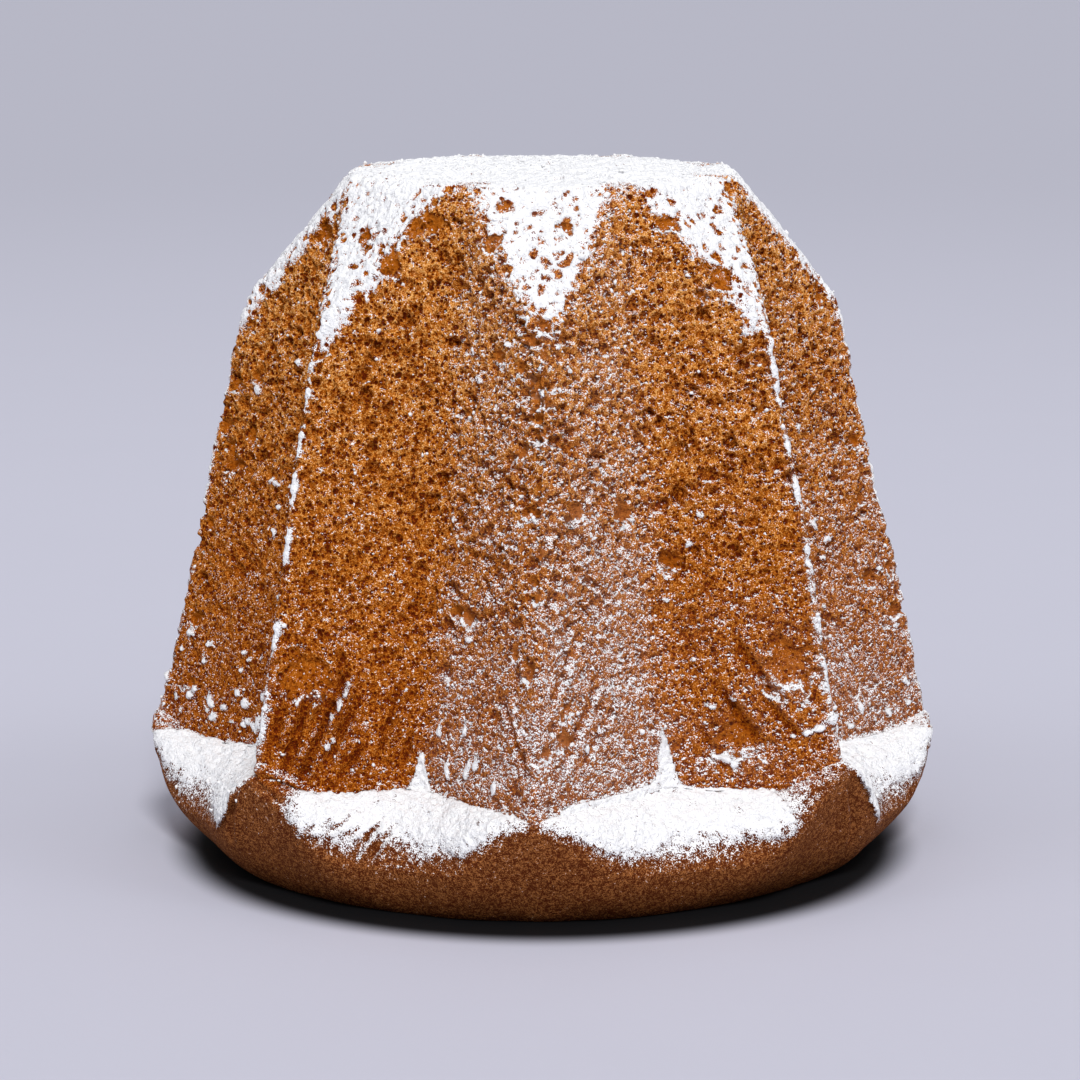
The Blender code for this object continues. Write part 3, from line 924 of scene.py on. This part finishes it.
def mesh_from(name, points, quads, triangles):
    mesh = bpy.data.meshes.new(name)
    corners = np.concatenate((quads.ravel(), triangles.ravel())).astype(np.int32)
    sizes = np.concatenate((np.full(len(quads), 4), np.full(len(triangles), 3))).astype(np.int32)
    starts = np.concatenate(((0,), np.cumsum(sizes)[:-1])).astype(np.int32)
    mesh.vertices.add(len(points))
    mesh.vertices.foreach_set("co", points.astype(np.float32).ravel())
    mesh.loops.add(len(corners))
    mesh.loops.foreach_set("vertex_index", corners)
    mesh.polygons.add(len(sizes))
    mesh.polygons.foreach_set("loop_start", starts)
    mesh.update(calc_edges=True)
    mesh.validate()
    mesh.shade_smooth()
    return mesh


def vertex_normals(points, quads, triangles):
    """The sum of the normals of the faces round each point, larger faces counting for more."""
    normals = np.zeros_like(points)
    for faces in (quads, triangles):
        corners = [points[faces[:, corner]] for corner in range(faces.shape[1])]
        if faces is quads:
            cross = np.cross(corners[2] - corners[0], corners[3] - corners[1])
        else:
            cross = np.cross(corners[1] - corners[0], corners[2] - corners[0])
        for corner in range(faces.shape[1]):
            for axis in range(3):
                normals[:, axis] += np.bincount(faces[:, corner], cross[:, axis], len(points))
    return normals


def make_lobes():
    """The eight lobes, whose edges meet in the valleys, each as one piece."""
    lobes = [make_lobe(lobe) for lobe in range(RIDGES)]
    for lobe in lobes:
        add_relief(lobe)
        end_points = np.array(((0, 0, TOTAL_HEIGHT + MIDDLE_RISE), (0, 0, 0)))
        lobe["points"] = np.vstack((lobe["points"], end_points))
        lobe["fields"] = {name: np.append(value, (1.0, 0.0) if name == "sheet" else (0.0, 0.0))
                          for name, value in lobe["fields"].items()}
        lobe["faces"] = lobe_faces(lobe)
        lobe["shading"] = vertex_normals(lobe["points"], *lobe["faces"])
    for lobe, following in zip(lobes, lobes[1:] + lobes[:1]):
        last = lobe["ids"][:, -1]
        first = following["ids"][:, 0]
        middle = (lobe["points"][last] + following["points"][first]) / 2
        lobe["points"][last] = following["points"][first] = middle
        total = lobe["shading"][last] + following["shading"][first]
        lobe["shading"][last] = following["shading"][first] = total
    material = crust_material()
    for number, lobe in enumerate(lobes):
        name = f"lobe_{number}"
        mesh = mesh_from(name, lobe["points"], *lobe["faces"])
        for field, values in lobe["fields"].items():
            layer = mesh.attributes.new(field, "FLOAT", "POINT")
            layer.data.foreach_set("value", values.astype(np.float32))
        shading = lobe["shading"]
        shading /= np.linalg.norm(shading, axis=1, keepdims=True) + 1e-20
        mesh.normals_split_custom_set_from_vertices(shading.astype(np.float32))
        mesh.materials.append(material)
        piece = link(name, mesh)
        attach(piece, "root")
        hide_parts("pandoro")
    return lobes


def rounded_crumb(detail):
    """A ball of few faces, and its triangles."""
    ball = bmesh.new()
    bmesh.ops.create_icosphere(ball, subdivisions=detail, radius=1)
    points = np.array([vert.co[:] for vert in ball.verts])
    faces = np.array([[vert.index for vert in face.verts] for face in ball.faces])
    ball.free()
    return points, faces


def scatter(name, lobes, count, detail, low, high, chance, seed, spread):
    """One piece of count crumbs of sugar, low to high metres in radius, where chance says."""
    random = np.random.RandomState(seed)
    points = np.concatenate([lobe["points"] for lobe in lobes])
    shading = np.concatenate([lobe["shading"] for lobe in lobes])
    odds = np.concatenate([chance(lobe) for lobe in lobes])
    picked = random.choice(len(points), count, p=odds / odds.sum())
    ball, faces = rounded_crumb(detail)
    size = mix(low, high, random.random_sample(count) ** 2.5)[:, None, None]
    uneven = 1 + 0.35 * random.normal(size=(count, len(ball), 1)).clip(-1.5, 1.5)
    stretch = 1 + 0.25 * random.normal(size=(count, 1, 3)).clip(-1.5, 1.5)
    shift = random.normal(size=(count, 3)) * spread
    centres = points[picked] + shift - shading[picked] * (shift * shading[picked]).sum(1)[:, None]
    crumbs = centres[:, None, :] + ball[None] * uneven * stretch * size
    crumbs[..., 2] = np.maximum(crumbs[..., 2], 0.0002)
    faces = faces[None] + len(ball) * np.arange(count)[:, None, None]
    mesh = mesh_from(name, crumbs.reshape(-1, 3), np.zeros((0, 4), int), faces.reshape(-1, 3))
    mesh.materials.append(sugar_material())
    piece = link(name, mesh)
    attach(piece, "root")
    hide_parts("pandoro")


def edge_chance(lobe):
    """Likely where sugar thins out, and on what faces up."""
    sheet = lobe["fields"]["sheet"]
    up = np.clip(lobe["shading"][:, 2] + 0.1, 0, 1)
    return up * (np.exp(-((sheet - 0.4) / 0.25) ** 2) + 0.04 * (sheet > 0.6))


def dust_chance(lobe):
    """Likely where dust lies on what faces up, outside the sheet of sugar."""
    fields = lobe["fields"]
    up = np.clip(lobe["shading"][:, 2] - 0.05, 0, 1)
    return np.clip(fields["dust"], 0, 1) ** 3 * up * (fields["sheet"] < 0.5)


def make_grains(lobes):
    share = 1 / FINE ** 2
    scatter("sugar_crumbs", lobes, int(900 * share), 1, 0.00030, 0.0008, edge_chance, 3, 0.0006)
    scatter("sugar_grains", lobes, int(2600 * share), 1, 0.00018, 0.0005, dust_chance, 4, 0.0004)


# ---- stage, light and camera

FLOOR_TINTS = (0.545, 0.545, 0.63, 1), (0.555, 0.555, 0.64, 1)
# Painted shade: the floor's colour darkens far off, where the light would fall off
FAR_PAINTED_SHADE_TINT = (0.45, 0.45, 0.52, 1)
# Painted shadow: the floor's colour goes near black round the foot of the cake
PAINTED_SHADOW_TINT = (0.004, 0.004, 0.005, 1)
FAR_PAINTED_SHADE_REACH = 150, 2500
PAINTED_SHADOW_REACH = 99.5, 113.5
SHADE_FORWARD = 12
FLOOR_RADII = (0.3, 0.8, 2.0, 5.0, 14.0)
FLOOR_SIDES = 96
WORLD_TINT = (0.93, 0.94, 1.0, 1)
SIDE_GLOW = 0.12
CEILING_GLOW = 0.66
LENS = 125.37
CAMERA_PLACE = (-0.00067, -1.0965, 0.289)
CAMERA_TILT = pi / 2 - 0.181


def make_stage():
    """A plain floor, with a near-black shadow painted round the cake and shade painted far off."""
    graph = Graph("studio_floor")
    place = graph.place()
    forward = graph.nodes.new("ShaderNodeVectorMath")
    forward.operation = "ADD"
    graph.links.new(place, forward.inputs[0])
    forward.inputs[1].default_value = (0, SHADE_FORWARD, 0)
    away = graph.nodes.new("ShaderNodeVectorMath")
    away.operation = "LENGTH"
    graph.links.new(forward.outputs[0], away.inputs[0])
    distance = away.outputs["Value"]
    tint = graph.blend(graph.noise(place, 90.0, 2.0), *FLOOR_TINTS)
    # Painted shade: darker far from the cake
    tint = graph.blend(graph.ramp(distance, *FAR_PAINTED_SHADE_REACH), tint, FAR_PAINTED_SHADE_TINT)
    # Painted shadow: near black under the rim of the cake, a little forward of its middle
    tint = graph.blend(graph.ramp(distance, *PAINTED_SHADOW_REACH), PAINTED_SHADOW_TINT, tint)
    material = graph.finish(tint, graph.bump(graph.noise(place, 2.0, 2.0), 0.00005), 0.7, 0.2)
    count = FLOOR_SIDES
    points = [(0, 0, 0)]
    for radius in FLOOR_RADII:
        for step in range(count):
            angle = 2 * pi * step / count
            points.append((radius * cos(angle), radius * sin(angle), 0))
    triangles = [(0, 1 + i, 1 + (i + 1) % count) for i in range(count)]
    quads = [(1 + ring * count + i, 1 + (ring + 1) * count + i,
              1 + (ring + 1) * count + (i + 1) % count, 1 + ring * count + (i + 1) % count)
             for ring in range(len(FLOOR_RADII) - 1) for i in range(count)]
    mesh = mesh_from("studio_floor", np.array(points, float), np.array(quads), np.array(triangles))
    mesh.materials.append(material)
    link("studio_floor", mesh)


def make_world():
    """A studio whose ceiling is bright and whose sides are dim."""
    world = bpy.data.worlds.new("studio")
    world.use_nodes = True
    nodes = world.node_tree.nodes
    links = world.node_tree.links
    source = nodes.new("ShaderNodeTexCoord")
    split = nodes.new("ShaderNodeSeparateXYZ")
    links.new(source.outputs["Generated"], split.inputs[0])
    rise = nodes.new("ShaderNodeMapRange")
    rise.interpolation_type = "SMOOTHSTEP"
    rise.inputs["From Min"].default_value = 0.05
    rise.inputs["From Max"].default_value = 0.85
    rise.inputs["To Min"].default_value = SIDE_GLOW
    rise.inputs["To Max"].default_value = CEILING_GLOW
    links.new(split.outputs["Z"], rise.inputs["Value"])
    background = nodes["Background"]
    background.inputs["Color"].default_value = WORLD_TINT
    links.new(rise.outputs["Result"], background.inputs["Strength"])
    bpy.context.scene.world = world


def sun(name, direction, spread, strength):
    """A soft light from a direction, spread over some degrees."""
    data = bpy.data.lights.new(name, "SUN")
    data.angle = radians(spread)
    data.energy = strength
    lamp = bpy.data.objects.new(name, data)
    lamp.rotation_euler = Vector(direction).to_track_quat("Z", "Y").to_euler()
    bpy.context.scene.collection.objects.link(lamp)


def make_light():
    make_world()
    sun("key", (0.14, -1.05, 1.0), 14, 2.2)
    sun("left", (-1.0, -0.35, 0.9), 30, 0.20)
    sun("right", (1.0, -0.30, 0.9), 30, 0.30)
    scene = bpy.context.scene
    scene.view_settings.view_transform = "Standard"
    scene.view_settings.look = "None"


def make_camera():
    data = bpy.data.cameras.new("camera")
    data.sensor_width = 36
    data.lens = LENS
    data.clip_end = 50
    camera = bpy.data.objects.new("camera", data)
    camera.location = CAMERA_PLACE
    camera.rotation_euler = Euler((CAMERA_TILT, 0, 0))
    bpy.context.scene.collection.objects.link(camera)
    bpy.context.scene.camera = camera


def main():
    make_camera()
    make_light()
    make_stage()
    make_grains(make_lobes())


main()
